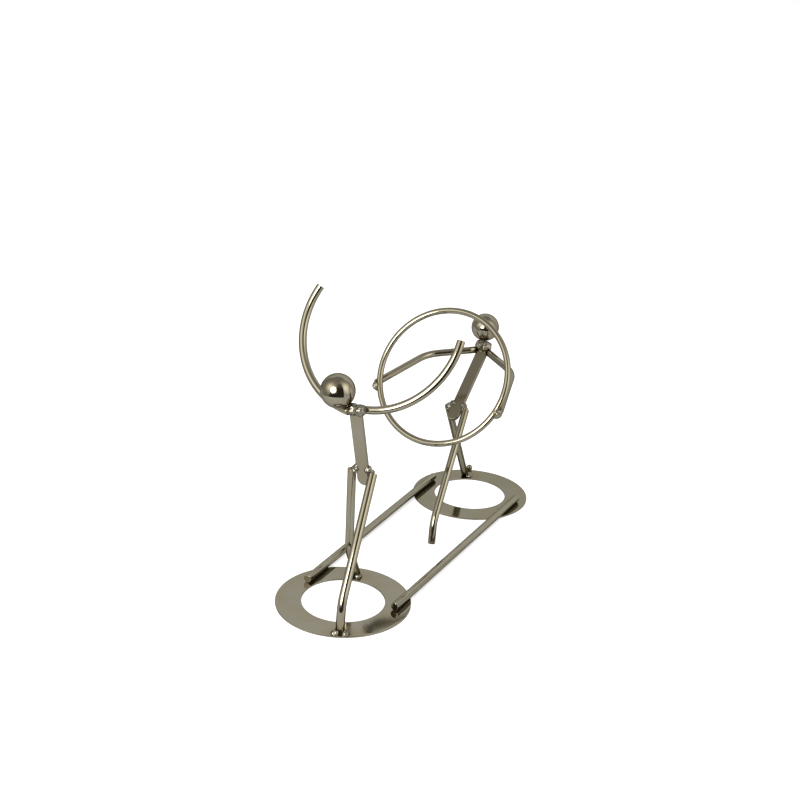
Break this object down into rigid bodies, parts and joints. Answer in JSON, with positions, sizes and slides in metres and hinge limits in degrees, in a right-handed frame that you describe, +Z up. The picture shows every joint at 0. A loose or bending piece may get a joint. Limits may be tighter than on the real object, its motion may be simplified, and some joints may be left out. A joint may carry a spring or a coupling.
{
  "type": "bottle holder",
  "caption": "Welded wire bottle holder: two ball-headed stick figures on flat ring bases cradle a slanted bottle in curved arms and a hoop",
  "frame": {"origin": "midway between the two base rings, on the table that the holder stands on", "axes": "+Z up; +Y from the front figure to the rear figure, along the holder's length; +X to the right as seen from the front figure's side"},
  "size_m": [0.1031, 0.2544, 0.1765],
  "materials": {
    "plated_rod": "bright nickel-like plating on drawn steel rod and balls",
    "plated_plate": "plated flat steel, slightly satin",
    "weld_metal": "plated weld beads, lumpy and a little duller"
  },
  "bodies": {
    "root": {"front_head": "plated_rod", "rear_head": "plated_rod", "front_left_arm": "plated_rod", "front_right_arm": "plated_rod", "front_left_leg": "plated_rod", "front_right_leg": "plated_rod", "rear_left_arm": "plated_rod", "rear_right_arm": "plated_rod", "holding_hoop": "plated_rod", "rear_standing_leg": "plated_rod", "rear_raised_leg": "plated_rod", "rear_ring_stub": "plated_rod", "left_tie_rod": "plated_rod", "right_tie_rod": "plated_rod", "front_base_ring": "plated_plate", "rear_base_ring": "plated_plate", "front_torso": "plated_plate", "rear_torso": "plated_plate", "front_neck_weld": "weld_metal", "front_hip_welds": "weld_metal", "front_foot_welds": "weld_metal", "rear_neck_weld": "weld_metal", "rear_hip_welds": "weld_metal", "rear_foot_weld": "weld_metal", "hand_welds": "weld_metal"}
  },
  "joints": []
}
